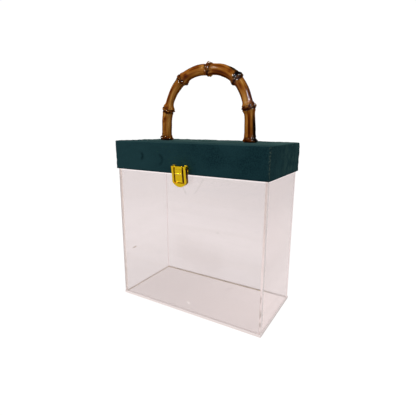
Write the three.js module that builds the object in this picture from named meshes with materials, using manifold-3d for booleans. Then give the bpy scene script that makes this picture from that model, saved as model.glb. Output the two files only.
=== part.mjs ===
// A clear acrylic box handbag with a velvet-covered hinged lid, a bamboo arch handle and a gilt swing clasp.
// Millimetres, +Z up. The origin is on the ground, at the middle of the bag. -Y is the front, +X is its right.
import * as THREE from "three";
import { mergeVertices } from "three/addons/utils/BufferGeometryUtils.js";
import Module from "manifold-3d";

const wasm = await Module();
wasm.setup();

// Acrylic box: four walls that stand on a floor sheet
const BOX_WIDTH = 200;
const BOX_DEPTH = 100;
const SHEET = 3;
const FLOOR_LIP = 0.5; // the floor sheet stands out past the walls
const GLUE_LINE = 0.1; // open line at each cemented joint
const SEAT_GAP = 0.3; // between pieces that rest on each other

// Velvet lid: a hollow cap of covered board that sits on the rim of the box
const LID_BOTTOM_Z = 174;
const LID_HEIGHT = 35;
const LID_OVERHANG = 2.6;
const LID_WALL = 3;
const LID_EDGE_RADIUS = 1.5;
const LID_WIDTH = BOX_WIDTH + 2 * LID_OVERHANG;
const LID_DEPTH = BOX_DEPTH + 2 * LID_OVERHANG;
const LID_TOP_Z = LID_BOTTOM_Z + LID_HEIGHT;
const LID_FRONT_Y = -LID_DEPTH / 2;
const LID_BACK_Y = LID_DEPTH / 2;

// Bamboo handle: a cane bent into an arch in the XZ plane, measured from the lid's top
const CANE_SIDES = 14;
const CANE_STEPS = 96;
// One row for each knot: its place, its radius, the cane's own radius beside it, and how far its swelling reaches
// towards the left foot and towards the right foot. The short reach is the side of its scar.
const KNOTS = [
  { x: -60.6, z: 0.0, radius: 8.5, cane: 6.3, reach: [3.4, 5.4] },
  { x: -57.0, z: 37.7, radius: 8.0, cane: 5.8, reach: [3.7, 5.4] },
  { x: -34.1, z: 73.2, radius: 7.9, cane: 6.0, reach: [3.0, 5.0] },
  { x: 3.5, z: 82.4, radius: 8.0, cane: 6.5, reach: [2.2, 3.0] },
  { x: 39.6, z: 69.5, radius: 8.3, cane: 6.4, reach: [3.6, 2.6] },
  { x: 55.2, z: 38.5, radius: 8.3, cane: 6.0, reach: [4.0, 4.2] },
  { x: 58.8, z: 0.0, radius: 8.7, cane: 6.4, reach: [6.4, 3.4] },
];

// Screws that hold the handle's feet from inside the lid
const SCREW_RADIUS = 1.8;
const SCREW_CLEARANCE = 0.3;
const SCREW_HEAD_RADIUS = 4.2;
const SCREW_HEAD_HEIGHT = 2.4;
const SCREW_BITE = 11; // length inside the cane

// Swing clasp: a cast flap hangs on a pin between two lugs of the lid plate and closes over a catch on the box
const CLASP_X = -1.4; // it sits a little left of the middle
const FLAP_WIDTH = 19;
const FLAP_TILT = THREE.MathUtils.degToRad(6.5); // it hangs with its tab nearer to the box
const FLAP_FRONT_Y = -59;
const FLAP_BACK_Y = -56.7;
const FLAP_BOTTOM_Z = 159.6;
const FLAP_SHOULDER_Z = 165.1; // the half-round finger tab starts here
const FLAP_EDGE = 1; // rounding of the front edge
const TAB_BACK_Y = -55.7; // the finger tab is thicker than the rest
const SIDE_WALL = 1; // walls that reach back towards the bag on both sides
const SIDE_WALL_BACK_Y = -54.6;
const RAIL_WIDTH = 2.6;
const RAIL_TOP_Z = 180.2;
const PANEL_WIDTH = 9; // raised panel between the rails
const PANEL_BOTTOM_Z = 165.5;
const SLOT_DEPTH = 1.7; // slots round the panel
const SLOT_BOTTOM_Z = 164.3;
const SPLIT_WIDTH = 0.5; // line across the panel at the lid's lower edge
const SPLIT_DEPTH = 0.5;
const PIVOT_Y = -57.3;
const PIVOT_Z = 182.4;
const PIVOT_RADIUS = 0.5;
const PIVOT_CLEARANCE = 0.25;
const BARREL_RADIUS = 1.5;
const LUG_RADIUS = 1.5;
const LUG_TOP_Z = 183.9;
const BASE_METAL = 0.6; // the lid plate's thickness
const BASE_TOP_Z = 180;
const METAL_GAP = 0.2; // between metal and the surface that it is fixed on
const CATCH_WIDTH = 8;
const CATCH_LOW_Z = 165;
const CATCH_HIGH_Z = 171;
const CATCH_FRONT_Y = -52.3;

// Butt hinges behind the lid
const HINGE_X = 60;
const HINGE_WIDTH = 24;
const HINGE_KNUCKLE = 9; // length of the lid leaf's middle knuckle
const HINGE_BARREL_RADIUS = 1.7;
const HINGE_PIN_RADIUS = 0.8;
const HINGE_CLEARANCE = 0.3;
const HINGE_AXIS_Y = LID_BACK_Y + 1.9;
const HINGE_AXIS_Z = LID_BOTTOM_Z;
const HINGE_LEAF = 1;
const HINGE_LEAF_HEIGHT = 11;

const ROUND_SIDES = 16;

const material = (color, roughness, metalness, extra = {}) =>
  new THREE.MeshStandardMaterial({ color, roughness, metalness, ...extra });
const ACRYLIC = material(0xe9dfdf, 0.05, 0, { transparent: true, opacity: 0.3 });
const VELVET = material(0x16393d, 0.95, 0);
const BAMBOO = material(0x8a5526, 0.25, 0);
const GILT = material(0xd6ab1c, 0.22, 1);

const bag = new THREE.Group();

function addMesh(group, name, geometry, finish) {
  const mesh = new THREE.Mesh(geometry, finish);
  mesh.name = name;
  group.add(mesh);
}

// A box between two corners
function block(low, high) {
  const size = high.map((value, i) => value - low[i]);
  const middle = high.map((value, i) => (value + low[i]) / 2);
  return new THREE.BoxGeometry(...size).translate(...middle);
}

// A round bar along X or Z from one end to the other; across holds its other two coordinates
function bar(axis, radius, start, end, across) {
  const rod = new THREE.CylinderGeometry(radius, radius, end - start, ROUND_SIDES);
  const middle = (start + end) / 2;
  if (axis === "x") return rod.rotateZ(Math.PI / 2).translate(middle, across[0], across[1]);
  return rod.rotateX(Math.PI / 2).translate(across[0], across[1], middle);
}

function solidOf(geometry) {
  const bare = geometry.clone();
  bare.deleteAttribute("normal");
  bare.deleteAttribute("uv");
  const merged = mergeVertices(bare, 1e-4);
  const vertProperties = new Float32Array(merged.attributes.position.array);
  const triVerts = new Uint32Array(merged.index.array);
  return new wasm.Manifold(new wasm.Mesh({ numProp: 3, vertProperties, triVerts }));
}

function geometryOf(solid) {
  const mesh = solid.getMesh();
  const geometry = new THREE.BufferGeometry();
  geometry.setAttribute("position", new THREE.BufferAttribute(mesh.vertProperties, 3));
  geometry.setIndex(new THREE.BufferAttribute(mesh.triVerts, 1));
  geometry.computeVertexNormals();
  return geometry;
}

// Joins the first list of geometries and takes the second list away
function carve(joined, removed = []) {
  let solid = joined.map(solidOf).reduce((a, b) => a.add(b));
  for (const cutter of removed) solid = solid.subtract(solidOf(cutter));
  return geometryOf(solid);
}

function addAcrylicBox() {
  const group = new THREE.Group();
  const x = BOX_WIDTH / 2;
  const y = BOX_DEPTH / 2;
  const wallBottom = SHEET + GLUE_LINE;
  const wallTop = LID_BOTTOM_Z - SEAT_GAP;
  const endY = y - SHEET - GLUE_LINE; // the side sheets fit between the front and the back
  const floor = block([-x - FLOOR_LIP, -y - FLOOR_LIP, 0], [x + FLOOR_LIP, y + FLOOR_LIP, SHEET]);
  addMesh(group, "acrylic_floor", floor, ACRYLIC);
  const walls = {
    acrylic_front: [[-x, -y], [x, -y + SHEET]],
    acrylic_back: [[-x, y - SHEET], [x, y]],
    acrylic_left: [[-x, -endY], [-x + SHEET, endY]],
    acrylic_right: [[x - SHEET, -endY], [x, endY]],
  };
  for (const [name, [low, high]] of Object.entries(walls)) {
    addMesh(group, name, block([...low, wallBottom], [...high, wallTop]), ACRYLIC);
  }
  bag.add(group);
}

// A rectangle with round corners, about the origin
function roundedRectangle(width, depth, radius) {
  const x = width / 2 - radius;
  const y = depth / 2 - radius;
  const outline = new THREE.Shape();
  outline.absarc(x, y, radius, 0, Math.PI / 2);
  outline.absarc(-x, y, radius, Math.PI / 2, Math.PI);
  outline.absarc(-x, -y, radius, Math.PI, 1.5 * Math.PI);
  outline.absarc(x, -y, radius, 1.5 * Math.PI, 2 * Math.PI);
  return outline;
}

// Height of the cane's foot and the screw's way through the lid's top board
const FOOT_Z = LID_TOP_Z + SEAT_GAP;
const LID_CEILING_Z = LID_TOP_Z - LID_WALL;
const feet = [KNOTS[0].x, KNOTS[KNOTS.length - 1].x];
const screwHole = (x, low, high) => bar("z", SCREW_RADIUS + SCREW_CLEARANCE, low, high, [x, 0]);

function addLid() {
  const cap = new THREE.ExtrudeGeometry(roundedRectangle(LID_WIDTH, LID_DEPTH, 2 * LID_EDGE_RADIUS), {
    depth: LID_HEIGHT - 2 * LID_EDGE_RADIUS,
    bevelThickness: LID_EDGE_RADIUS,
    bevelSize: LID_EDGE_RADIUS,
    bevelOffset: -LID_EDGE_RADIUS,
    bevelSegments: 3,
    curveSegments: 4,
  }).translate(0, 0, LID_BOTTOM_Z + LID_EDGE_RADIUS);
  const x = LID_WIDTH / 2 - LID_WALL;
  const y = LID_DEPTH / 2 - LID_WALL;
  const hollow = block([-x, -y, LID_BOTTOM_Z - 1], [x, y, LID_CEILING_Z]);
  const holes = feet.map((footX) => screwHole(footX, LID_CEILING_Z - 1, LID_TOP_Z + 1));
  addMesh(bag, "velvet_lid", carve([cap], [hollow, ...holes]), VELVET);
}

// Radius of the cane at a place along it: its own radius, which changes in the middle of a stretch, and the
// nearest knot's swelling, which falls off on each side as far as its reach
function caneRadius(distance, knotDistances) {
  let stretch = 0;
  while (stretch < KNOTS.length - 2 && distance > knotDistances[stretch + 1]) stretch += 1;
  const start = knotDistances[stretch];
  const along = (distance - start) / (knotDistances[stretch + 1] - start);
  const blend = THREE.MathUtils.smoothstep(along, 0.35, 0.65);
  const cane = THREE.MathUtils.lerp(KNOTS[stretch].cane, KNOTS[stretch + 1].cane, blend);
  let swelling = 0;
  KNOTS.forEach((knot, i) => {
    const offset = distance - knotDistances[i];
    const reach = knot.reach[offset < 0 ? 0 : 1];
    swelling = Math.max(swelling, (knot.radius - cane) * Math.exp(-((offset / reach) ** 2)));
  });
  return cane + swelling;
}

// A planar cane: rings across the arch at even steps, with a level foot at each end
function caneGeometry() {
  const arch = new THREE.CatmullRomCurve3(KNOTS.map((k) => new THREE.Vector3(k.x, 0, k.z + FOOT_Z)));
  arch.arcLengthDivisions = 2000;
  const lengths = arch.getLengths();
  const knotDistances = KNOTS.map((_, i) => lengths[Math.round((i / (KNOTS.length - 1)) * 2000)]);
  const total = arch.getLength();
  const positions = [];
  const triangles = [];
  for (let i = 0; i <= CANE_STEPS; i += 1) {
    const share = i / CANE_STEPS;
    const centre = arch.getPointAt(share);
    const tangent = arch.getTangentAt(share);
    if (i === 0 || i === CANE_STEPS) tangent.set(0, 0, i === 0 ? 1 : -1);
    const radius = caneRadius(share * total, knotDistances);
    for (let side = 0; side < CANE_SIDES; side += 1) {
      const turn = (2 * Math.PI * side) / CANE_SIDES;
      const outward = radius * Math.cos(turn);
      positions.push(centre.x - outward * tangent.z, radius * Math.sin(turn), centre.z + outward * tangent.x);
      if (i === CANE_STEPS) continue;
      const a = i * CANE_SIDES + side;
      const b = i * CANE_SIDES + ((side + 1) % CANE_SIDES);
      triangles.push(a, a + CANE_SIDES, b, b, a + CANE_SIDES, b + CANE_SIDES);
    }
  }
  const last = CANE_STEPS * CANE_SIDES;
  for (let side = 1; side < CANE_SIDES - 1; side += 1) {
    triangles.push(0, side, side + 1);
    triangles.push(last, last + side + 1, last + side);
  }
  const geometry = new THREE.BufferGeometry();
  geometry.setAttribute("position", new THREE.Float32BufferAttribute(positions, 3));
  geometry.setIndex(triangles);
  return geometry;
}

function addHandle() {
  const holes = feet.map((x) => screwHole(x, FOOT_Z - 1, FOOT_Z + SCREW_BITE + SCREW_CLEARANCE));
  addMesh(bag, "bamboo_handle", carve([caneGeometry()], holes), BAMBOO);
  const headTop = LID_CEILING_Z - SEAT_GAP;
  ["left", "right"].forEach((side, i) => {
    const shank = bar("z", SCREW_RADIUS, headTop - 1, FOOT_Z + SCREW_BITE, [feet[i], 0]);
    const head = bar("z", SCREW_HEAD_RADIUS, headTop - SCREW_HEAD_HEIGHT, headTop, [feet[i], 0]);
    addMesh(bag, `handle_screw_${side}`, carve([shank, head]), GILT);
  });
}

// The flap's whole front outline: straight sides and a half-round finger tab
function flapBody() {
  const half = FLAP_WIDTH / 2;
  const outline = new THREE.Shape();
  outline.moveTo(half, PIVOT_Z);
  outline.lineTo(-half, PIVOT_Z);
  outline.lineTo(-half, FLAP_SHOULDER_Z);
  outline.absellipse(0, FLAP_SHOULDER_Z, half, FLAP_SHOULDER_Z - FLAP_BOTTOM_Z, Math.PI, 2 * Math.PI);
  outline.closePath();
  const body = new THREE.ExtrudeGeometry(outline, {
    depth: TAB_BACK_Y - FLAP_FRONT_Y,
    bevelThickness: FLAP_EDGE,
    bevelSize: FLAP_EDGE,
    bevelOffset: -FLAP_EDGE,
    bevelSegments: 3,
    curveSegments: 20,
  });
  return body.rotateX(Math.PI / 2).translate(0, TAB_BACK_Y + FLAP_EDGE, 0);
}

function claspFlap() {
  const half = FLAP_WIDTH / 2;
  const panel = PANEL_WIDTH / 2;
  const slotEnd = half - RAIL_WIDTH;
  const inside = half - SIDE_WALL;
  const slotBack = FLAP_FRONT_Y + SLOT_DEPTH;
  const front = FLAP_FRONT_Y - 1;
  const top = PIVOT_Z + 5;
  const back = 0;
  const wide = FLAP_WIDTH;
  const pivot = [PIVOT_Y, PIVOT_Z];
  const removed = [
    block([-wide, TAB_BACK_Y, FLAP_BOTTOM_Z - 1], [wide, back, top]),
    block([-inside, FLAP_BACK_Y, SLOT_BOTTOM_Z], [inside, back, top]),
    block([-wide, FLAP_BACK_Y, RAIL_TOP_Z], [wide, back, top]),
    block([-slotEnd, front, SLOT_BOTTOM_Z], [slotEnd, slotBack, PANEL_BOTTOM_Z]),
    block([-panel - 1, front, LID_BOTTOM_Z - SPLIT_WIDTH / 2],
      [panel + 1, FLAP_FRONT_Y + SPLIT_DEPTH, LID_BOTTOM_Z + SPLIT_WIDTH / 2]),
  ];
  const added = [bar("x", BARREL_RADIUS, -panel, panel, pivot)];
  for (const side of [-1, 1]) {
    const span = (a, b) => [side * a, side * b].sort((p, q) => p - q);
    const [slotLow, slotHigh] = span(panel, slotEnd);
    const [topLow, topHigh] = span(panel, wide);
    const [wallLow, wallHigh] = span(inside, half);
    removed.push(block([slotLow, front, SLOT_BOTTOM_Z], [slotHigh, slotBack, top]));
    removed.push(block([topLow, front, RAIL_TOP_Z], [topHigh, back, top]));
    added.push(block([wallLow, FLAP_BACK_Y - 0.5, FLAP_SHOULDER_Z], [wallHigh, SIDE_WALL_BACK_Y, RAIL_TOP_Z]));
  }
  const bore = bar("x", PIVOT_RADIUS + PIVOT_CLEARANCE, -wide, wide, pivot);
  const flap = carve([carve([flapBody()], removed), ...added], [bore]);
  return flap.translate(0, -PIVOT_Y, -PIVOT_Z).rotateX(FLAP_TILT).translate(0, PIVOT_Y, PIVOT_Z);
}

// The lid plate: a thin plate on the lid, with two lugs at its top that hold the flap's pin
function claspLidPlate() {
  const half = FLAP_WIDTH / 2;
  const lugStart = half - RAIL_WIDTH;
  const face = LID_FRONT_Y - METAL_GAP;
  const lowZ = LID_BOTTOM_Z + 0.6;
  const pivot = [PIVOT_Y, PIVOT_Z];
  const pieces = [
    block([-half, face - BASE_METAL, lowZ], [half, face, BASE_TOP_Z]),
    bar("x", PIVOT_RADIUS, -half, half, pivot),
  ];
  for (const side of [-1, 1]) {
    const [low, high] = [side * lugStart, side * half].sort((p, q) => p - q);
    pieces.push(bar("x", LUG_RADIUS, low, high, pivot));
    pieces.push(block([low, PIVOT_Y, PIVOT_Z - 1.3], [high, face, LUG_TOP_Z]));
    pieces.push(block([low, face - BASE_METAL, BASE_TOP_Z - 1], [high, face, LUG_TOP_Z]));
  }
  return carve(pieces);
}

function addClasp() {
  const clasp = new THREE.Group();
  clasp.position.x = CLASP_X;
  const boxFace = -BOX_DEPTH / 2 - METAL_GAP;
  const catchBlock = block([-CATCH_WIDTH / 2, CATCH_FRONT_Y, CATCH_LOW_Z], [CATCH_WIDTH / 2, boxFace, CATCH_HIGH_Z]);
  addMesh(clasp, "clasp_lid_plate", claspLidPlate(), GILT);
  addMesh(clasp, "clasp_flap", claspFlap(), GILT);
  addMesh(clasp, "clasp_catch", catchBlock, GILT);
  bag.add(clasp);
}

function addHinge(name, x) {
  const hinge = new THREE.Group();
  hinge.position.x = x;
  const half = HINGE_WIDTH / 2;
  const knuckle = HINGE_KNUCKLE / 2;
  const axis = [HINGE_AXIS_Y, HINGE_AXIS_Z];
  const lidLeafY = LID_BACK_Y + METAL_GAP;
  const boxLeafY = BOX_DEPTH / 2 + METAL_GAP;
  const lidLeafLow = HINGE_AXIS_Z + HINGE_BARREL_RADIUS + HINGE_CLEARANCE;
  const boxLeafTop = HINGE_AXIS_Z - HINGE_BARREL_RADIUS - HINGE_CLEARANCE;
  const wrapY = boxLeafY + HINGE_LEAF;
  const lidLeaf = carve(
    [
      block([-half, lidLeafY, lidLeafLow], [half, lidLeafY + HINGE_LEAF, lidLeafLow + HINGE_LEAF_HEIGHT]),
      block([-knuckle, lidLeafY, HINGE_AXIS_Z], [knuckle, lidLeafY + HINGE_LEAF, lidLeafLow + 0.1]),
      bar("x", HINGE_BARREL_RADIUS, -knuckle, knuckle, axis),
    ],
    [bar("x", HINGE_PIN_RADIUS + HINGE_CLEARANCE, -half, half, axis)],
  );
  const outerKnuckles = [-1, 1].flatMap((side) => {
    const ends = [side * half, side * (knuckle + HINGE_CLEARANCE)].sort((a, b) => a - b);
    return [
      bar("x", HINGE_BARREL_RADIUS, ends[0], ends[1], axis),
      block([ends[0], boxLeafY, boxLeafTop - 0.8], [ends[1], HINGE_AXIS_Y, boxLeafTop + 0.4]),
    ];
  });
  const boxLeaf = carve([
    block([-half, boxLeafY, boxLeafTop - HINGE_LEAF_HEIGHT], [half, wrapY, boxLeafTop]),
    bar("x", HINGE_PIN_RADIUS, -half, half, axis),
    ...outerKnuckles,
  ]);
  addMesh(hinge, `hinge_${name}_lid_leaf`, lidLeaf, GILT);
  addMesh(hinge, `hinge_${name}_box_leaf`, boxLeaf, GILT);
  bag.add(hinge);
}

addAcrylicBox();
addLid();
addHandle();
addClasp();
addHinge("left", -HINGE_X);
addHinge("right", HINGE_X);

export default bag;
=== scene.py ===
"""Looks of a clear acrylic box handbag with a velvet lid, a bamboo handle and a gilt clasp.

Lengths are worked out in millimetres in the CAD frame: X to the right, Y to the back, Z up.
"""

import bpy
import numpy as np
from mathutils import Matrix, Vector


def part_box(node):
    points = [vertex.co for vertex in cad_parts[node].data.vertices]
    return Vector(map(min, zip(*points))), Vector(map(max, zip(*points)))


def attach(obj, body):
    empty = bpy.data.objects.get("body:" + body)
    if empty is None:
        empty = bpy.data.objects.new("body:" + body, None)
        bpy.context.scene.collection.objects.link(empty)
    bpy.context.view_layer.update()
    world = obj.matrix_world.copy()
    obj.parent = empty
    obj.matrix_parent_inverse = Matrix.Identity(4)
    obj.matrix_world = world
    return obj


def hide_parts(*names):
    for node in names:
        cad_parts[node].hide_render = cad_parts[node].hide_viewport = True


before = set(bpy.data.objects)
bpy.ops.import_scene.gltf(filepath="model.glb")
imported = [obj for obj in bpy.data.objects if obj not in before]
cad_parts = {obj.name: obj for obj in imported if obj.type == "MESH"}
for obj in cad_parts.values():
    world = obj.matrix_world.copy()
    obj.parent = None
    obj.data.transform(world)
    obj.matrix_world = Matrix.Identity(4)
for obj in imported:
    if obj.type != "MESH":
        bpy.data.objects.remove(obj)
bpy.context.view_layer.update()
MM = 0.001


# Meshes from arrays

def ring_shell(rows):
    """Shell of stacked closed rings, rows being (rings, corners, 3): quads join neighbouring rings, and a fan
    to its mean point closes each end ring."""
    rings, corners = rows.shape[:2]
    index = np.arange(rings * corners).reshape(rings, corners)
    after = np.roll(index, -1, axis=1)
    quads = np.stack([index[:-1], after[:-1], after[1:], index[1:]], -1).reshape(-1, 4)
    points = np.vstack([rows.reshape(-1, 3), rows[[0, -1]].mean(1)])
    hub = np.full(corners, rings * corners)
    fans = [np.stack([after[0], index[0], hub], -1), np.stack([index[-1], after[-1], hub + 1], -1)]
    return points, quads, np.vstack(fans)


def outward(shell):
    """The shell with its faces turned so that its signed volume is positive."""
    points, quads, fans = shell
    triangles = np.vstack([quads[:, :3], quads[:, [0, 2, 3]], fans])
    a, b, c = (points[triangles[:, i]] for i in range(3))
    if np.einsum("ij,ij->", a, np.cross(b, c)) < 0:
        return points, quads[:, ::-1], fans[:, ::-1]
    return shell


def together(*shells):
    """Several shells as one, each turned outwards: their points end to end, with the faces renumbered."""
    points, quads, fans = zip(*(outward(shell) for shell in shells))
    starts = np.cumsum([0] + [len(part) for part in points[:-1]])
    quads, fans = (np.vstack([part + start for part, start in zip(faces, starts)]) for faces in (quads, fans))
    return np.vstack(points), quads, fans


def given(thing, **settings):
    """The thing with its settings made."""
    for key, value in settings.items():
        setattr(thing, key, value)
    return thing


def linked(name, data):
    """New object of the data, in the scene."""
    made = bpy.data.objects.new(name, data)
    bpy.context.scene.collection.objects.link(made)
    return made


def piece(name, shell, body, nodes, finishes, sharp=35.0, marks=None):
    """Object made of a shell that rides on a body and stands for CAD nodes. Edges over the given angle stay
    crisp, and marks are named values per point for the materials."""
    points, quads, fans = shell
    mesh = bpy.data.meshes.new(name)
    mesh.from_pydata((points * MM).tolist(), [], quads.tolist() + fans.tolist())
    mesh.shade_smooth()
    mesh.set_sharp_from_angle(angle=np.radians(sharp))
    for key, values in (marks or {}).items():
        kind, field = ("FLOAT", "value") if values.ndim == 1 else ("FLOAT_VECTOR", "vector")
        layer = mesh.attributes.new(key, kind, "POINT")
        layer.data.foreach_set(field, np.ascontiguousarray(values, dtype=np.float32).ravel())
    mesh.validate()
    made = linked(name, mesh)
    for finish in finishes:
        mesh.materials.append(finish)
    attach(made, body)
    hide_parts(*nodes)
    return made


def smoothstep(low, high, value):
    """Zero below low, one above high, and a cubic ease between them."""
    t = np.clip((value - low) / (high - low), 0.0, 1.0)
    return t * t * (3.0 - 2.0 * t)


def bump(value, reach):
    """Bell curve of the given reach."""
    return np.exp(-((value / reach) ** 2))


def waves(points, length, seed, count=14):
    """Smooth noise between about -1 and 1: a mean of plane waves of random direction, length and phase."""
    rng = np.random.default_rng(seed)
    direction = rng.normal(size=(count, 3))
    direction /= np.linalg.norm(direction, axis=1, keepdims=True)
    number = 2 * np.pi / (length * rng.uniform(0.7, 1.5, count))
    phase = rng.uniform(0, 2 * np.pi, count)
    return np.sin(points @ (direction * number[:, None]).T + phase).sum(-1) / np.sqrt(count)


def round_loop(half, corner, along, around):
    """Rectangle with round corners about the origin, once round: for each point the middle it is measured
    from and the unit direction it lies in. Along a straight side only the middle moves."""
    half = np.asarray(half, float)
    signs = np.array([[1, 1], [-1, 1], [-1, -1], [1, -1]])
    middles, directions = [], []
    for i in range(4):
        angle = np.linspace(i * np.pi / 2, (i + 1) * np.pi / 2, around)
        arc = np.stack([np.cos(angle), np.sin(angle)], -1)
        start, end = signs[i], signs[(i + 1) % 4]
        count = along[i % 2]
        share = np.linspace(0, 1, count + 2)[1:-1, None]
        middles += [np.repeat(start[None], around, 0), start + (end - start) * share]
        directions += [arc, np.repeat(arc[-1:], count, 0)]
    return np.vstack(middles) * (half - corner), np.vstack(directions)


def slab(low, high, ease, steps=4):
    """Box between two corners with eased edges: round rectangles stacked along Z, drawn in by a quarter
    circle at both ends."""
    low, high = np.asarray(low, float), np.asarray(high, float)
    centre, half = (low + high) / 2, (high - low) / 2
    middle, direction = round_loop(half[:2], ease, (1, 1), steps)
    angle = np.linspace(0, np.pi / 2, steps)
    sine, cosine = ease * (1 - np.sin(angle)), ease * (1 - np.cos(angle))
    inset = np.concatenate([sine, cosine])
    height = np.concatenate([low[2] + cosine, high[2] - sine])
    flat = middle[None] + direction[None] * (ease - inset)[:, None, None] + centre[:2]
    return ring_shell(np.insert(flat, 2, height[:, None], axis=-1))


def plate_shell(front, back):
    """Closed plate between two grids of the same shape, joined all round by a rim."""
    rows, columns = front.shape[:2]
    index = np.arange(rows * columns).reshape(rows, columns)
    face = np.stack([index[:-1, :-1], index[:-1, 1:], index[1:, 1:], index[1:, :-1]], -1).reshape(-1, 4)
    border = np.concatenate([index[0, :-1], index[:-1, -1], index[-1, :0:-1], index[:0:-1, 0]])
    after = np.roll(border, -1)
    far = rows * columns
    rim = np.stack([after, border, border + far, after + far], -1)
    points = np.vstack([front.reshape(-1, 3), back.reshape(-1, 3)])
    return points, np.vstack([face, face[:, ::-1] + far, rim]), np.zeros((0, 3), int)


def prism(profile, low, high, ease=0.25):
    """Convex YZ profile carried along X, drawn in a little towards its middle at both ends."""
    middle = profile.mean(0)
    reach = np.linalg.norm(profile - middle, axis=1, keepdims=True)
    inset = np.array([ease, 0.3 * ease, 0.0, 0.0, 0.3 * ease, ease])
    place = np.array([low, low + 0.3 * ease, low + ease, high - ease, high - 0.3 * ease, high])
    flat = middle + (profile - middle) * (1 - inset[:, None, None] / reach)
    return ring_shell(np.insert(flat, 0, place[:, None], axis=-1))


def lathe_x(place, radius, centre, sides=24):
    """Round bar along X: circles of the given radii at the given places about a centre in YZ."""
    turn = np.linspace(0, 2 * np.pi, sides, endpoint=False)
    circle = np.stack([np.cos(turn), np.sin(turn)], -1)
    flat = centre + radius[:, None, None] * circle
    return ring_shell(np.insert(flat, 0, place[:, None], axis=-1))


# Shader nodes

class Finish:
    """A node tree, a new material's unless one is given, and the few ways its nodes are made and joined."""

    def __init__(self, name, tree=None):
        if tree is None:
            self.material = bpy.data.materials.new(name)
            self.material.use_nodes = True
            tree = self.material.node_tree
            tree.nodes.clear()
        self.tree = tree

    def feed(self, socket, value):
        """Links a socket or sets its value. A colour is given without its alpha."""
        if isinstance(value, bpy.types.NodeSocket):
            self.tree.links.new(value, socket)
        elif socket.type == "RGBA":
            socket.default_value = (*value, 1.0)
        else:
            socket.default_value = value

    def node(self, kind, inputs=None, **settings):
        """A node with its settings and inputs."""
        made = given(self.tree.nodes.new(kind), **settings)
        for key, value in (inputs or {}).items():
            self.feed(made.inputs[key], value)
        return made

    def mix(self, share, first, second, way="MIX"):
        """Colour between two colours."""
        made = self.node("ShaderNodeMix", {0: share, 6: first, 7: second}, data_type="RGBA", blend_type=way)
        return made.outputs[2]

    def sum(self, way, first, second=0.0, third=0.0, clamp=False):
        """Arithmetic on values."""
        made = self.node("ShaderNodeMath", {0: first, 1: second, 2: third}, operation=way, use_clamp=clamp)
        return made.outputs[0]

    def times(self, first, second):
        """Product of two values."""
        return self.sum("MULTIPLY", first, second)

    def span(self, value, low, high, start=0.0, end=1.0):
        """A value carried smoothly from one range to another."""
        inputs = {"Value": value, "From Min": low, "From Max": high, "To Min": start, "To Max": end}
        return self.node("ShaderNodeMapRange", inputs, interpolation_type="SMOOTHSTEP").outputs[0]

    def steps(self, colour, value, tones):
        """Colour that gives way to each tone in turn as the value goes from that tone's start to its end."""
        for start, end, tone in tones:
            colour = self.mix(self.span(value, start, end), colour, tone)
        return colour

    def vector(self, way, first, second=(0.0, 0.0, 0.0)):
        """Vector arithmetic, as the node that does it."""
        return self.node("ShaderNodeVectorMath", {0: first, 1: second}, operation=way)

    def axis(self, vector, name):
        """One coordinate of a vector."""
        return self.node("ShaderNodeSeparateXYZ", {0: vector}).outputs[name]

    def mark(self, name, vector=False):
        """A value that the piece carries at its points."""
        made = self.node("ShaderNodeAttribute", attribute_name=name)
        return made.outputs["Vector" if vector else "Fac"]

    def place(self):
        """Place on the object."""
        return self.node("ShaderNodeTexCoord").outputs["Object"]

    def patches(self, vector, scale, low, high, detail=3.0, stretch=None):
        """Mask of soft patches from the shared group, with coordinates stretched along each axis."""
        if stretch:
            vector = self.node("ShaderNodeMapping", {"Vector": vector, "Scale": stretch}).outputs[0]
        inputs = {"Vector": vector, "Scale": scale, "Detail": detail, "Low": low, "High": high}
        return self.node("ShaderNodeGroup", inputs, node_tree=PATCHES).outputs["Mask"]

    def raised(self, height, distance, strength=1.0, normal=None):
        """Normal of a relief of the given height."""
        inputs = {"Height": height, "Distance": distance, "Strength": strength}
        if normal is not None:
            inputs["Normal"] = normal
        return self.node("ShaderNodeBump", inputs).outputs[0]

    def close(self, shader):
        """Joins the shader to the material's output."""
        self.node("ShaderNodeOutputMaterial", {"Surface": shader.outputs[0]})
        return self.material

    def surface(self, colour, rough, more=None, specular=0.0):
        """Makes an opaque Principled shader, with more inputs by name, and joins it to the output."""
        inputs = {"Base Color": colour, "Roughness": rough, "Specular IOR Level": specular, **(more or {})}
        return self.close(self.node("ShaderNodeBsdfPrincipled", inputs))


def mask_group(name, vectors, values):
    """New node group that turns vectors and values into a mask: its nodes, and the sockets of its inputs."""
    tree = bpy.data.node_groups.new(name, "ShaderNodeTree")
    for kind, keys in (("NodeSocketVector", vectors), ("NodeSocketFloat", values)):
        for key in keys:
            tree.interface.new_socket(name=key, in_out="INPUT", socket_type=kind)
    tree.interface.new_socket(name="Mask", in_out="OUTPUT", socket_type="NodeSocketFloat")
    f = Finish(name, tree)
    return f, f.node("NodeGroupInput").outputs


def patches_group():
    """Group that turns noise into a mask: zero where the noise is under Low, one where it is over High."""
    f, enter = mask_group("soft_patches", ("Vector",), ("Scale", "Detail", "Low", "High"))
    noise = f.node("ShaderNodeTexNoise", {key: enter[key] for key in ("Vector", "Scale", "Detail")})
    f.node("NodeGroupOutput", {"Mask": f.span(noise.outputs["Fac"], enter["Low"], enter["High"])})
    return f.tree


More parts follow.
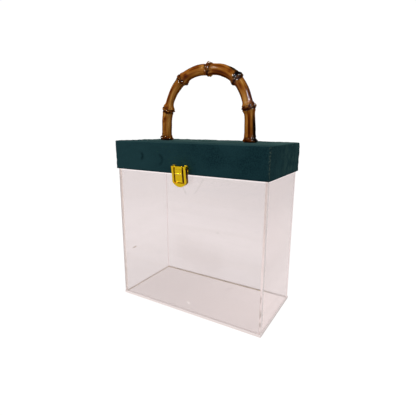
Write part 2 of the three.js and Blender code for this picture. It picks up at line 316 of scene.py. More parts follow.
def dash_group():
    """Group that masks a stroke: one on the segment from Start to End, fading to zero at Width from it."""
    f, enter = mask_group("dash", ("Vector", "Start", "End"), ("Width",))
    along = f.vector("SUBTRACT", enter["End"], enter["Start"]).outputs[0]
    away = f.vector("SUBTRACT", enter["Vector"], enter["Start"]).outputs[0]
    reach = f.vector("DOT_PRODUCT", away, along).outputs["Value"]
    whole = f.vector("DOT_PRODUCT", along, along).outputs["Value"]
    share = f.sum("DIVIDE", reach, whole, clamp=True)
    foot = f.node("ShaderNodeVectorMath", {0: along, "Scale": share}, operation="SCALE").outputs[0]
    gap = f.vector("LENGTH", f.vector("SUBTRACT", away, foot).outputs[0]).outputs["Value"]
    f.node("NodeGroupOutput", {"Mask": f.span(gap, 0.0, enter["Width"], 1.0, 0.0)})
    return f.tree


PATCHES = patches_group()
DASH = dash_group()
# Strokes, dots and one soft cloud on the acrylic: start, end, half width, strength, tint; the white
# stroke also glows as a painted highlight
SCUFFS = (
    ((-82.2, -50, 69.4), (-76.8, -50, 72.5), 1.4, 0.9, (0.36, 0.26, 0.17)),
    ((-8, -30.9, 3), (-3.8, -33.3, 3), 1.7, 1, (1, 1, 1)),
    ((-1.2, -50, 157.9), (3, -50, 151.9), 1.5, 0.65, (0.58, 0.54, 0.5)),
    ((25.6, -50, 169.4), (15.6, -50, 153.6), 1.5, 0.45, (0.62, 0.58, 0.55)),
    ((44.7, -50, 111.8), (45.2, -50, 111.6), 1.4, 0.7, (0.5, 0.45, 0.42)),
    ((100, -0.9, 58), (100, -0.4, 57.8), 1.5, 0.7, (0.5, 0.45, 0.42)),
    ((100, -19.2, 143.3), (100, -18.8, 143), 1.4, 0.6, (0.5, 0.45, 0.42)),
    ((20, 24, 3), (26.5, 33, 3), 2, 0.4, (0.4, 0.36, 0.34)),
    ((2, -50, 82), (36, -50, 76), 30, 0.8, (0.82, 0.765, 0.757)),
)
# Heights between which a sheet's tint changes towards its top and its foot, painted shade and painted
# reflection, and its upper edge glows as a painted highlight, and places from left to right between which
# that painted shade changes, in metres like every place in a shader
TOWARDS_TOP, TOWARDS_FOOT, TOP_LINE = (0.095, 0.16), (0.08, 0.025), (0.1718, 0.1728)
LEFT_TO_RIGHT = (-0.06, 0.08)
SMEAR, SMEAR_SHARE = 0.955 * np.array([1.0, 0.994, 0.985]), 0.4
SHADOW_TINT, GLOW_TINT = (0.96, 0.94, 0.94), (1.0, 0.96, 0.95)
# Heights between which an edge takes its lower tone, a painted shade that changes with height, and its
# cement has bubbles
LOWER_EDGE, BUBBLES = (0.14, 0.05), (0.056, 0.042)
BUBBLE_TONE = (0.29, 0.25, 0.2)
CEMENT_DARK, CEMENT_LIGHT, CEMENT_THIN = (0.77, 0.68, 0.48), (0.86, 0.77, 0.58), (0.62, 0.55, 0.53)
# Tones of the pile: lying away and towards, paler to the left, in its grain, and where it carries a mark:
# painted sheen on the top and the upper edge, painted shade beside crushed spots, the seam, the right side
# and the lower edge
PILE = {
    "away": (0.005, 0.0186, 0.0244), "towards": (0.0092, 0.0302, 0.0366), "paler_left": (0.0145, 0.041, 0.047),
    "grain": (0.0125, 0.043, 0.048), "brushed": (0.0245, 0.057, 0.054), "crown": (0.056, 0.104, 0.094),
    "crush_shade": (0.001, 0.008, 0.011), "edge_sheen": (0.034, 0.076, 0.076), "seam": (0.045, 0.072, 0.062),
    "hem": (0.001, 0.009, 0.012)}
# Tones of the cane: pale, fibre, and crease, the last partly painted shade in the grooves; and those it
# takes as its red-brown colour, partly painted shade, and its burns deepen: start, end, tone
CANE_PALE, CANE_FIBRE, CANE_CREASE = (0.56, 0.275, 0.07), (0.11, 0.035, 0.004), (0.04, 0.006, 0.001)
STAINS = (
    (-0.1, 0.3, (0.43, 0.18, 0.032)), (0.25, 0.62, (0.29, 0.098, 0.012)),
    (0.55, 0.95, (0.15, 0.03, 0.003)), (0.95, 1.4, (0.06, 0.009, 0.001)))
BURNS = ((0.3, 0.75, (0.055, 0.017, 0.003)), (0.55, 1.0, (0.006, 0.003, 0.002)))
# Tones of the gilt, and those it takes with its mark for painted shade, the first a pale painted
# highlight where that mark is below zero: start, end, tone
GILT_BARE, GILT_WORN = (0.88, 0.585, 0.014), (0.78, 0.515, 0.012)
SHADING_TONES = (
    (0.0, -1.0, (0.98, 0.82, 0.36)), (0.0, 0.5, (0.27, 0.15, 0.028)),
    (0.5, 1.0, (0.075, 0.006, 0.006)), (1.0, 2.0, (0.016, 0.008, 0.002)))


def acrylic_finish(name, tint, top, bottom):
    """Clear acrylic: tinted glass that lets lamps through. Its tint is scaled towards top and bottom by a
    factor on the left and one on the right: painted shade and painted reflection, the lid's shadow and dark
    reflection near the top and the floor's reflection near the foot. It has faint smears and scuffs, and a
    painted highlight that glows along its top and in a white scuff."""
    f = Finish(name)
    place = f.place()
    tint = np.array(tint)
    height = f.axis(place, "Z")
    across = f.span(f.axis(place, "X"), *LEFT_TO_RIGHT)
    # Painted shade and painted reflection: the tint scaled towards the top and the foot
    upper, lower = (f.mix(across, *np.outer(pair, tint)) for pair in (top, bottom))
    colour = f.steps(tint, height, ((*TOWARDS_TOP, upper), (*TOWARDS_FOOT, lower)))
    smear = f.patches(place, 1.0, 0.36, 0.66, stretch=(6, 6, 110))
    colour = f.mix(f.times(smear, SMEAR_SHARE), colour, SMEAR * tint)
    # Painted highlight: the sheet's top line glows by emission
    glow = f.span(height, *TOP_LINE)
    for start, end, width, strength, tone in SCUFFS:
        start, end = MM * np.array([start, end])
        inputs = {"Vector": place, "Start": start, "End": end, "Width": MM * width}
        stroke = f.node("ShaderNodeGroup", inputs, node_tree=DASH).outputs["Mask"]
        colour = f.mix(f.times(stroke, strength), colour, tone)
        # A white scuff also glows: painted highlight
        if min(tone) > 0.9:
            glow = f.sum("MAXIMUM", glow, stroke)
    shine = f.mix(glow, (0.0, 0.0, 0.0), GLOW_TINT)
    glass = f.node("ShaderNodeBsdfPrincipled", {
        "Base Color": colour, "Roughness": 0.008, "IOR": 1.49, "Transmission Weight": 1.0,
        "Emission Color": shine, "Emission Strength": 0.13})
    clear = f.node("ShaderNodeBsdfTransparent", {"Color": SHADOW_TINT})
    shadow = f.node("ShaderNodeLightPath").outputs["Is Shadow Ray"]
    return f.close(f.node("ShaderNodeMixShader", {0: shadow, 1: glass.outputs[0], 2: clear.outputs[0]}))


def edge_finish(name, colour, low_colour=None, speck=0.0, glow=0.0):
    """Sawn or cemented edge of a sheet: frosted, a little cloudy, with a lower tone where one is given, a
    painted shade that changes with height, dark specks where the cement has bubbles, and a painted glow that
    stands in for the light the sheet carries to its edge."""
    f = Finish(name)
    place = f.place()
    height = f.axis(place, "Z")
    tone = f.mix(f.patches(place, 90.0, 0.35, 0.7), colour, 0.95 * np.array(colour))
    tone = f.mix(f.span(height, *LOWER_EDGE), tone, low_colour or colour)
    bubble = f.patches(place, 420.0, 0.44, 0.54, 2.0, (1, 1, 0.35))
    bubble = f.times(bubble, f.span(height, *BUBBLES))
    tone = f.mix(f.times(bubble, speck), tone, BUBBLE_TONE)
    return f.surface(tone, 0.8, {"Emission Color": tone, "Emission Strength": glow})


def cement_finish():
    """Film of cement at a wall's foot: brown-grey, cloudy, and thin near the box's right end."""
    f = Finish("brown_cement")
    place = f.place()
    tone = f.mix(f.patches(place, 70.0, 0.35, 0.7), CEMENT_DARK, CEMENT_LIGHT)
    thin = f.span(f.axis(place, "X"), 0.066, 0.078)
    tone = f.mix(f.times(thin, 0.85), tone, CEMENT_THIN)
    return f.surface(tone, 0.8)


def velvet_finish():
    """Dark teal pile: patches of nap that lie differently, paler towards the front's left end, grain and fine
    tufts, crushed spots with painted shade on one side, pale specks along the corner's seam, a painted sheen
    on the top and along the upper edge, and a dark lower edge."""
    f = Finish("teal_velvet")
    place = f.place()
    nap = f.patches(place, 30.0, 0.36, 0.66)
    mottle = f.patches(place, 90.0, 0.36, 0.72)
    grain = f.patches(place, 820.0, 0.36, 0.66, 2.0)
    tuft = f.patches(place, 1500.0, 0.3, 0.72, 2.0)
    lying = f.patches(place, 22.0, 0.25, 0.75, 2.0, (1, 2.5, 1))
    speck = f.patches(place, 900.0, 0.48, 0.56, 2.0, (1, 1, 0.6))
    colour = f.mix(nap, PILE["away"], PILE["towards"])
    colour = f.mix(f.times(f.mark("paler_left"), 0.75), colour, PILE["paler_left"])
    colour = f.mix(f.times(grain, 0.62), colour, PILE["grain"], "LIGHTEN")
    # The top and the upper edge take a painted sheen; the crushed spots take painted shade on one side
    shares = {"brushed": mottle, "crown": f.span(lying, 0.0, 1.0, 0.35, 0.95), "crush_shade": 1.0, "edge_sheen": 1.0,
              "seam": speck, "hem": 1.0}
    for key, share in shares.items():
        colour = f.mix(f.times(f.mark(key), share), colour, PILE[key])
    normal = f.raised(f.sum("ADD", grain, tuft), 0.0003, 0.5)
    return f.surface(colour, 0.95, {"Sheen Weight": 0.05, "Sheen Roughness": 0.4,
                                    "Sheen Tint": (0.45, 0.85, 0.82), "Normal": normal})


def bamboo_finish():
    """Lacquered cane: honey brown with darker fibres along it, red-brown stains, partly painted shade along
    its outlines, pale stretches, partly painted light along its middle, dark red creases at the knots,
    partly painted shade in the grooves, and burnt patches, under a lacquer that is lumpy at the knots."""
    f = Finish("lacquered_bamboo")
    cane = f.mark("cane", True)
    fibre = f.patches(cane, 700.0, 0.35, 0.7, 3.0, (1, 1, 0.05))
    stripe = f.patches(cane, 300.0, 0.28, 0.72, 3.0, (1, 1, 0.09))
    ragged = f.patches(cane, 330.0, 0.2, 0.8, 4.0, (1, 1, 0.25))
    depth = f.sum("MULTIPLY_ADD", f.mark("red"), 0.85, f.times(stripe, 0.55))
    depth = f.sum("MULTIPLY_ADD", ragged, 0.25, depth)
    depth = f.sum("MULTIPLY_ADD", f.mark("pale"), -0.5, depth)
    colour = f.steps(CANE_PALE, depth, STAINS)
    colour = f.mix(f.times(fibre, 0.3), colour, CANE_FIBRE)
    colour = f.mix(f.mark("crease"), colour, CANE_CREASE)
    smoke = f.sum("MULTIPLY_ADD", ragged, 0.4, f.mark("scorch"))
    colour = f.steps(colour, smoke, BURNS)
    slant = f.node("ShaderNodeLayerWeight", {"Blend": 0.5}).outputs["Facing"]
    coat = f.times(f.span(slant, 0.12, 0.42, 0.5, 0.0), f.mark("gloss"))
    lumps = f.times(f.patches(cane, 480.0, 0.3, 0.7, 2.0), f.mark("gnarl"))
    normal = f.raised(lumps, 0.0016, 1.0, f.raised(fibre, 0.0001, 0.35))
    return f.surface(colour, 0.5, {"Coat Weight": coat, "Coat Roughness": 0.04, "Normal": normal})


def gilt_finish():
    """Polished yellow gilt with faint wear, dull maroon where its mark paints shade and black where that
    painted shade is deepest, and paler where the mark is below zero, a painted highlight."""
    f = Finish("polished_gilt")
    wear = f.patches(f.place(), 420.0, 0.4, 0.75)
    shade_and_highlight = f.mark("shade_and_highlight")
    colour = f.steps(f.mix(wear, GILT_BARE, GILT_WORN), shade_and_highlight, SHADING_TONES)
    dull = f.span(shade_and_highlight, 0.0, 1.0)
    rough = f.sum("MULTIPLY_ADD", dull, 0.3, f.span(wear, 0.0, 1.0, 0.18, 0.3))
    shine = f.span(dull, 0.0, 0.9, 1.0, 0.0)
    return f.surface(colour, rough, {"Metallic": shine}, specular=0.05)


# Pieces

WALL_TINT = (0.892, 0.845, 0.844)
# The right wall and the floor are darker copies of the same clear acrylic: painted shade
RIGHT_TINT = (0.886, 0.796, 0.788)
FLOOR_TINT = (0.752, 0.678, 0.666)
SHEET_EASE, FILM_EASE = 0.25, 0.08
# Films of cement along the feet of two walls: lower corner, upper corner
FILMS = {"back": ((-97.0, 44.7, 2.95), (97.0, 47.02, 3.12)),
         "left": ((-97.02, -47.0, 2.95), (-95.9, 47.0, 3.15))}
# Order of a sheet's finishes
FACE, FRONT, BACK, SIDE, FOOT, FILM = range(6)


def acrylic_sheets():
    """Five sheets with eased edges, two with a film of cement along their foot. The narrow faces of a sheet
    take an edge finish that goes by the way they face, and foot and film have their own. These finishes are
    partly lit and shaded copies: their tones and glows paint the light that each way of facing gets."""
    # Factors towards top and foot, left and right: painted shade and painted reflection; the right wall is
    # lighter at its foot and the floor towards the right
    walls = acrylic_finish("clear_acrylic", WALL_TINT, (0.955, 0.9), (0.955, 0.93))
    slant = acrylic_finish("clear_acrylic_right", RIGHT_TINT, (0.9, 0.9), (1.1, 1.1))
    below = acrylic_finish("clear_acrylic_floor", FLOOR_TINT, (1.0, 1.0), (1.0, 1.16))
    # Edge tones, lower tones and glows paint the light each edge gets: painted shade and painted glow
    sawn = edge_finish("sawn_edge", (0.88, 0.79, 0.77), (0.92, 0.83, 0.81), glow=0.12)
    far = edge_finish("far_edge", (0.71, 0.62, 0.595), glow=0.12)
    glued = edge_finish("glued_edge", (0.8, 0.73, 0.69), (0.92, 0.855, 0.84), 0.5, 0.26)
    plain = edge_finish("plain_edge", (0.78, 0.705, 0.66), (0.82, 0.755, 0.715), 0.3, 0.32)
    inner = edge_finish("inner_edge", (0.92, 0.84, 0.83), (0.9, 0.82, 0.81), glow=0.32)
    joint = edge_finish("clean_joint", (0.76, 0.665, 0.645), glow=0.18)
    cement = cement_finish()
    for name, thin, face, front, back, side in (
            ("floor", 2, below, joint, far, far), ("front", 1, walls, sawn, sawn, sawn),
            ("back", 1, walls, sawn, sawn, inner), ("left", 0, walls, plain, inner, sawn),
            ("right", 0, slant, glued, inner, sawn)):
        node = "acrylic_" + name
        low, high = (np.array(corner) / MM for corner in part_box(node))
        shells = [slab(low, high, SHEET_EASE, 3)]
        if name in FILMS:
            shells.append(slab(*FILMS[name], FILM_EASE, 3))
        made = piece("sheet_" + name, together(*shells), "box", [node],
                     [face, front, back, side, joint, cement], sharp=10.0)
        faces = made.data.polygons
        normals, middles = np.zeros((2, 3 * len(faces)))
        faces.foreach_get("normal", normals)
        faces.foreach_get("center", middles)
        facing, middles = normals.reshape(-1, 3).T, middles.reshape(-1, 3) / MM
        kind = np.select([np.abs(facing[thin]) >= 0.9, facing[2] < -0.9, facing[1] < -0.7, facing[1] > 0.7],
                         [FACE, FOOT, FRONT, BACK], SIDE)
        if name in FILMS:
            nearest = np.clip(middles, *FILMS[name])
            kind = np.where(np.abs(middles - nearest).max(1) < 0.01, FILM, kind)
        faces.foreach_set("material_index", kind.astype(np.int32))


LID_HALF = np.array([102.6, 52.6])
LID_LOW, LID_HIGH, LID_WALL = 174.0, 209.0, 3.0
# Crushed spots of the pile on the front, each with painted shade on one side of its arc: x, z, radius of
# their arc, strength
CRUSH_SHADES = ((-61.0, 191.5, 3.2, 0.75), (-34.5, 188.8, 6.0, 0.5))


def lid_shell():
    """Hollow cap: one round rectangle carried down a profile that starts at the top's middle, rounds the
    upper edge, goes down the side, turns under the lip, climbs the inner wall and ends in the ceiling's
    middle. A low noise moves the outer cloth along its normal. The marks are bells about the crushed
    spots' arcs, painted shade on one side of each, the near corner's seam, the upper edge, a painted sheen,
    the lip and the right side, and slopes along top and front: on the top a painted sheen, on the front a
    paler left end."""
    corner, upper, lip = 2.2, 1.4, 0.9
    middle, direction = round_loop(LID_HALF, corner, (180, 96), 9)
    quarter = np.linspace(0, np.pi / 2, 8)[1:]
    sine, cosine = 1 - np.sin(quarter), 1 - np.cos(quarter)
    spread = np.linspace(0.04, 1, 26)[:-1]
    down = np.linspace(LID_HIGH - upper, LID_LOW + lip, 38)[1:]
    climb = np.linspace(LID_LOW + lip, LID_HIGH - LID_WALL, 12)[1:]
    inward = np.linspace(1, 0.04, 12)[1:]
    ceiling = np.full(len(inward), LID_HIGH - LID_WALL)
    inset = np.concatenate([
        np.full(len(spread) + 1, upper), upper * sine, np.zeros(len(down)), lip * cosine,
        LID_WALL - lip * sine, np.full(len(climb) + len(inward), LID_WALL)])
    height = np.concatenate([
        np.full(len(spread) + 1, LID_HIGH), LID_HIGH - upper * cosine, down, LID_LOW + lip * sine,
        LID_LOW + lip * cosine, climb, ceiling])
    scale = np.concatenate([spread, np.ones(len(inset) - len(spread) - len(inward)), inward])
    flat = (middle[None] + direction[None] * (corner - inset)[:, None, None]) * scale[:, None, None]
    rows = np.insert(flat, 2, height[:, None], axis=-1)
    side = np.cross(np.roll(rows, -1, 1) - np.roll(rows, 1, 1), np.gradient(rows, axis=0))
    normal = side / np.maximum(np.linalg.norm(side, axis=-1, keepdims=True), 1e-9)
    step = np.arange(len(rows))[:, None]
    outer = smoothstep(0, 4, step) * (step < len(spread) + 1 + len(quarter) + len(down))
    swell = 0.16 * waves(rows, 26.0, 3) + 0.14 * waves(rows, 7.0, 4) - 0.25
    moved = rows + normal * (swell * outer)[..., None] * np.sign(normal[10, 0, 2])
    x, y, z = np.moveaxis(rows, -1, 0)
    front = y < 1.0 - LID_HALF[1]
    crush_shade = np.zeros(x.shape)
    for bx, bz, radius, strength in CRUSH_SHADES:
        dx, dz = x - bx, z - bz
        away = np.hypot(dx, dz)
        # Only the right half of each arc: painted shade of the dent
        arc = bump(away - radius, 1.7) * smoothstep(-0.2, 0.6, dx / (away + 1e-6))
        crush_shade = np.maximum(crush_shade, strength * front * arc)
    seam = np.hypot(x - LID_HALF[0] + 0.7, y + LID_HALF[1] - 0.7)
    edge = bump(inset - 0.5 * upper, 0.5 * upper)[:, None]
    marks = {
        # The top and the upper edge are lighter: painted sheen
        "crown": outer * smoothstep(LID_HIGH - 1.0, LID_HIGH, z) * smoothstep(-54.0, 10.0, y),
        "crush_shade": crush_shade,
        "seam": outer * bump(seam, 1.3) * (z < LID_HIGH - 1),
        "edge_sheen": 0.5 * outer * bump(z - LID_HIGH + 0.3, 0.5) * edge,
        "hem": 0.8 * bump(z - LID_LOW, 0.9),
        "brushed": outer * smoothstep(0.4 * LID_HALF[0], LID_HALF[0], x) * bump(y - 16.0, 30.0),
        "paler_left": front * smoothstep(25.0, -75.0, x)}
    return ring_shell(moved), {key: np.append(values.ravel(), (0.0, 0.0)) for key, values in marks.items()}


FOOT_Z = 209.3
# Knots of the cane: x, height above the foot, radius, reach of the swelling before and after it, half the gap
# between its two creases, how much wider that gap is on the outer side than on the inner one, the side of its
# deep crease (1 towards the right foot, -1 towards the left), how sharp that is, how far along the cane from
# the knot its root buds lie, and how far its gnarls reach
KNOTS = np.rec.fromrecords([
    (-60.7, 0.0, 8.6, 3.0, 3.2, 4.2, 0.5, 1, 0.35, 2.3, 7.0),
    (-57.0, 37.6, 8.0, 2.6, 4.6, 2.0, 0.4, -1, 1.0, 0.0, 4.0),
    (-34.1, 73.2, 7.9, 2.4, 4.2, 1.9, 0.5, -1, 1.0, 0.0, 4.0),
    (3.5, 82.4, 8.0, 1.0, 1.9, 2.0, 1.7, -1, 1.0, 0.0, 4.0),
    (39.6, 69.5, 8.3, 2.6, 1.9, 2.0, 0.6, 1, 1.0, 0.0, 4.0),
    (55.2, 38.5, 8.3, 3.0, 3.6, 2.1, 0.4, 1, 1.0, 0.0, 4.0),
    (58.4, 0.0, 8.6, 4.9, 3.0, 4.2, 0.5, -1, 0.5, -2.3, 8.0)],
    names="x, height, radius, before, after, lip, widening, deep, sharp, buds, gnarls")
BUDS = 11
# Stretches between the knots: radius at both ends, how far the middle bows outwards, how much darker the
# stretch is
STRETCHES = np.rec.fromrecords([
    (6.3, 6.65, 0.0, 0.06), (4.95, 5.75, 1.3, 0.16), (6.2, 6.5, 1.0, 0.18), (6.3, 6.9, 1.3, 0.26),
    (6.15, 5.85, 0.3, 0.1), (6.1, 6.5, -0.2, 0.28)], names="start, end, bow, stain")
# Soft ovals on the cane: place along it in knots, angle from the outer side towards the front, reach along it
# in knots, reach round it in degrees, strength
SCORCHES = np.array([
    (3.76, 5, 0.15, 32, 1), (3.97, 26, 0.09, 66, 1.1), (5.62, 4, 0.36, 36, 1.1), (5.93, 6, 0.09, 40, 1.4),
    (1.8, 30, 0.16, 24, 1.3), (0.06, 46, 0.07, 28, 0.8), (0, 120, 0.03, 140, 0.75),
    (6, 60, 0.03, 140, 0.75), (2.3, -60, 0.3, 35, 0.8), (4.6, 200, 0.25, 30, 0.7)])
# Some rows run along the cane's outlines as the camera sees them: their dark is partly painted shade of its
# sides
REDS = np.array([
    (0.7, 95, 0.07, 14, 1), (0.62, 88, 0.05, 11, 0.9), (0.44, 50, 0.36, 18, 1), (0.35, 98, 0.2, 8, 0.6),
    (0.04, 100, 0.06, 110, 1.2), (1.08, 105, 0.06, 26, 0.85), (1.3, 83, 0.2, 12, 0.95),
    (1.55, 76, 0.15, 11, 0.8), (2.45, 20, 0.42, 26, 1.5), (2.22, 104, 0.08, 20, 0.95),
    (2.52, 82, 0.18, 13, 0.5), (2.93, 128, 0.05, 30, 0.8), (3.3, -10, 0.3, 12, 0.8),
    (3.36, 50, 0.25, 7, 0.85), (3.45, 112, 0.35, 16, 1), (3.75, 62, 0.08, 20, 0.6),
    (4.62, 40, 0.27, 10, 1.5), (4.3, 86, 0.18, 19, 0.85), (4.55, 0, 0.4, 20, 1.6),
    (4.08, 70, 0.05, 50, 0.7), (0.5, 197, 0.45, 17, 0.8), (1.35, 30, 0.4, 16, 0.9), (1.5, 187, 0.5, 18, 1),
    (2.5, 171, 0.5, 14, 0.9), (3.5, 145, 0.5, 20, 1.2), (4.5, -14, 0.4, 16, 0.8), (4.4, 135, 0.45, 18, 1),
    (5.5, 137, 0.45, 15, 0.7), (5.55, 76, 0.36, 9, 1.9), (5.25, 64, 0.15, 5, 0.8),
    (5.93, 95, 0.05, 45, 0.9), (0.6, 250, 0.25, 30, 0.9), (1.5, 270, 0.3, 20, 0.9),
    (2.5, 230, 0.3, 25, 0.9), (3.5, 260, 0.25, 30, 0.9), (4.5, 280, 0.3, 22, 0.9), (5.5, 240, 0.3, 24, 0.9)])
# Some rows run along the middle of the cane facing the camera, and one lies just past the fifth knot beside
# the lacquer's long glint: their paleness is partly painted light
PALES = np.array([
    (0.88, 120, 0.07, 45, 0.8), (0.5, 148, 0.3, 18, 0.6), (1.15, 138, 0.1, 25, 0.8),
    (1.5, 124, 0.35, 22, 0.7), (2.85, 62, 0.09, 24, 1), (2.35, 62, 0.15, 15, 0.5), (2.6, 142, 0.3, 12, 0.7),
    (3.25, 22, 0.22, 14, 0.95), (3.12, 130, 0.06, 20, 0.6), (4.22, 52, 0.12, 12, 1),
    (4.8, 95, 0.14, 20, 0.9), (5.5, 104, 0.35, 14, 0.85), (5.45, 38, 0.32, 15, 0.75),
    (1.2, 200, 0.3, 35, 0.8), (3.3, 200, 0.3, 35, 0.8), (5.3, 190, 0.3, 35, 0.8)])
# Places along the cane in knots, and how glossy its lacquer is there
GLOSS = np.array([
    (0.0, 0.7), (0.13, 0.3), (0.2, 0.1), (0.9, 0.1), (0.97, 0.8), (1.06, 0.8), (1.15, 0.2), (1.9, 0.25),
    (1.96, 0.5), (2.06, 0.5), (2.12, 0.25), (2.9, 0.25), (2.95, 0.7), (3.05, 0.7), (3.15, 0.2), (3.8, 0.2),
    (3.88, 1.0), (4.08, 1.0), (4.15, 0.55), (5.04, 0.55), (5.1, 0.03), (5.85, 0.03), (5.92, 0.6)])


def cane_path(count, fine=400):
    """Curve through the knots in the XZ plane: between two knots a cubic whose end slopes come from the knots
    on both sides, each span weighted by the root of its length. Gives even steps and each knot's distance."""
    knot = np.stack([KNOTS.x, KNOTS.height + FOOT_Z], -1)
    knot = np.vstack([2 * knot[0] - knot[1], knot, 2 * knot[-1] - knot[-2]])
    span = np.sqrt(np.linalg.norm(np.diff(knot, axis=0), axis=1))[:, None]
    a, b, c, d = knot[:-3], knot[1:-2], knot[2:-1], knot[3:]
    before, own, after = span[:-2], span[1:-1], span[2:]
    leave = own * ((b - a) / before - (c - a) / (before + own) + (c - b) / own)
    arrive = own * ((c - b) / own - (d - b) / (own + after) + (d - c) / after)
    t = np.linspace(0, 1, fine, endpoint=False)[None, :, None]
    b, c, leave, arrive = (v[:, None] for v in (b, c, leave, arrive))
    square, cube = 3 * (c - b) - 2 * leave - arrive, 2 * (b - c) + leave + arrive
    curve = b + leave * t + square * t ** 2 + cube * t ** 3
    curve = np.vstack([curve.reshape(-1, 2), knot[-2]])
    distance = np.concatenate([[0], np.cumsum(np.linalg.norm(np.diff(curve, axis=0), axis=1))])
    even = np.linspace(0, distance[-1], count)
    points = np.stack([np.interp(even, distance, curve[:, i]) for i in (0, 1)], -1)
    return points, even, distance[::fine]


def ovals(table, number, turn):
    """Mask on the cane: for each row of the table a bell along the cane times a bell round it, the largest at
    each point."""
    place, angle, along, around, strength = table.T
    away = (np.degrees(turn)[:, None] - angle + 180) % 360 - 180
    return (strength * bump(away, around)[None] * bump(number[:, None, None] - place, along)).max(-1)


def handle_shell(steps=640, sides=88):
    """Cane: rings square to the path, level at the feet. A ring's radius is the cane's own plus a knot's
    swelling, which falls off on each side as far as its reach, less a crease on both sides of the knot, with
    root buds between them and gnarls about it, and drawn in at the feet. Low waves slant the knot's ring, and
    the gap between its creases is a cosine of the angle. The marks follow these forms and the ovals: creases
    and the gnarls' hollows are darker, partly the knot's own dark line and partly painted shade, and the
    gnarls' high points paler, painted light."""
    path, along, at = cane_path(steps)
    tangent = np.gradient(path, along, axis=0)
    ends = np.minimum(along, along[-1] - along)
    upright = np.stack([np.zeros(steps), np.where(along < along[-1] / 2, 1.0, -1.0)], -1)
    tangent = upright + (tangent - upright) * smoothstep(0, 9, ends)[:, None]
    tangent /= np.linalg.norm(tangent, axis=1, keepdims=True)
    across = np.stack([-tangent[:, 1], tangent[:, 0]], -1)
    turn = np.linspace(0, 2 * np.pi, sides, endpoint=False)
    number = np.interp(along, at, np.arange(len(at)))
    stretch = np.minimum(number.astype(int), len(at) - 2)
    share = number - stretch
    path = path + across * (STRETCHES.bow[stretch] * np.sin(np.pi * share))[:, None]
    start, end = STRETCHES.start[stretch], STRETCHES.end[stretch]
    cane = start + (end - start) * smoothstep(0.1, 0.9, share)
    rng = np.random.default_rng(11)
    phase = rng.uniform(0, 2 * np.pi, (3, len(at)))
    wave = turn[:, None]
    wobble = 0.5 * np.sin(wave + phase[0]) + 0.35 * np.sin(2 * wave + phase[1])
    wobble += 0.5 * np.sin(3 * wave + phase[2])
    offset = along[:, None, None] - at - wobble[None]
    reach = np.where(offset < 0, KNOTS.before, KNOTS.after)
    flare = bump(np.maximum(np.abs(offset) - 1.0, 0), reach)
    swell = ((KNOTS.radius - cane[:, None])[:, None] * flare).max(-1)
    gap = KNOTS.lip + KNOTS.widening * np.cos(wave)
    deep = (KNOTS.sharp * bump(offset - KNOTS.deep * gap, 1.1)).max(-1)
    faint = bump(offset + KNOTS.deep * gap, 0.7).max(-1)
    gnarl = bump(offset, KNOTS.gnarls).max(-1)
    collar = bump(offset, 1.7).max(-1)
    every = (BUDS, len(at))
    buds = np.linspace(0, 2 * np.pi, BUDS, endpoint=False)[:, None] + rng.uniform(-0.22, 0.22, every)
    size = rng.uniform(0.3, 1.0, every)
    lift = rng.uniform(-0.9, 0.9, every) + KNOTS.buds
    bud = np.zeros((steps, sides))
    for angle, big, up in zip(buds, size, lift):
        away = (wave - angle + np.pi) % (2 * np.pi) - np.pi
        bud = np.maximum(bud, (big * bump(away, 0.19)[None] * bump(offset - up, 1.0)).max(-1))
    circle = np.stack([np.cos(turn), np.sin(turn)], -1)
    place = np.insert(np.broadcast_to(8 * circle, (steps, sides, 2)), 2, along[:, None], axis=-1)
    knobbly = gnarl * waves(place, 3.6, 7)
    grain = 0.16 * waves(place * (1, 1, 0.25), 9.0, 5) + 0.12 * waves(place, 14.0, 6) + 0.5 * knobbly
    radius = cane[:, None] + swell + grain - 1.2 * deep - 0.7 * faint + 0.9 * bud
    radius *= (1 - 0.13 * bump(ends, 1.3))[:, None]
    rows = np.empty((steps, sides, 3))
    rows[..., [0, 2]] = path[:, None] + across[:, None] * (radius * np.cos(turn))[..., None]
    rows[..., 1] = -radius * np.sin(turn)
    stain = np.interp(number, np.arange(len(STRETCHES)) + 0.5, STRETCHES.stain)
    gloss = np.interp(number, *GLOSS.T)
    # Darker in the creases and in the gnarls' hollows: the knot's own dark line, and painted shade
    crease = 1.2 * deep + 0.85 * faint - 0.6 * bud + 1.1 * np.maximum(-knobbly - 0.2, 0)
    marks = {
        "crease": np.clip(crease, 0, 1), "gnarl": gnarl, "gloss": np.maximum(gloss[:, None], bud),
        "scorch": ovals(SCORCHES, number, turn) - 0.5 * bud,
        # Paler on the gnarls' high points: painted light
        "pale": np.maximum(ovals(PALES, number, turn), np.maximum(0.9 * bud, 1.1 * knobbly - 0.2)),
        "red": np.maximum(ovals(REDS, number, turn), 0.95 * collar - 0.9 * bud) + stain[:, None]}
    marks = {key: np.append(values.ravel(), (1.0, 1.0)) for key, values in marks.items()}
    marks["cane"] = np.vstack([place.reshape(-1, 3), place[[0, -1]].mean(1)]) * MM
    return ring_shell(rows), marks


# Clasp: fronts and backs along Y, lows and tops along Z, halves along X from its middle
CLASP_X = -1.4
FLAP_TILT = np.radians(6.5)
FLAP_FRONT, FLAP_BACK, TAB_BACK, WALL_BACK = -59.0, -56.7, -55.7, -54.6
FLAP_HALF, FLAP_WALL, FLAP_EDGE = 9.5, 1.2, 0.45
FLAP_LOW, FLAP_SHOULDER, FLAP_TOP = 159.6, 165.1, 180.4
PANEL_HALF, PANEL_LOW, RAIL_IN, SLOT_LOW, SLOT_DEPTH = 4.8, 165.5, 6.6, 164.4, 1.7
SPLIT_Z, PANEL_RIM, TAB_RIM = 174.4, 0.8, 1.5
SPLIT_DEPTH, DISH_DEPTH, BOWL_DEPTH = 0.1, 0.2, 0.35
# Power of the tab's outline, and half the way in which a cut reaches its depth
TAB_POWER, CUT_EASE = 1.15, 0.12
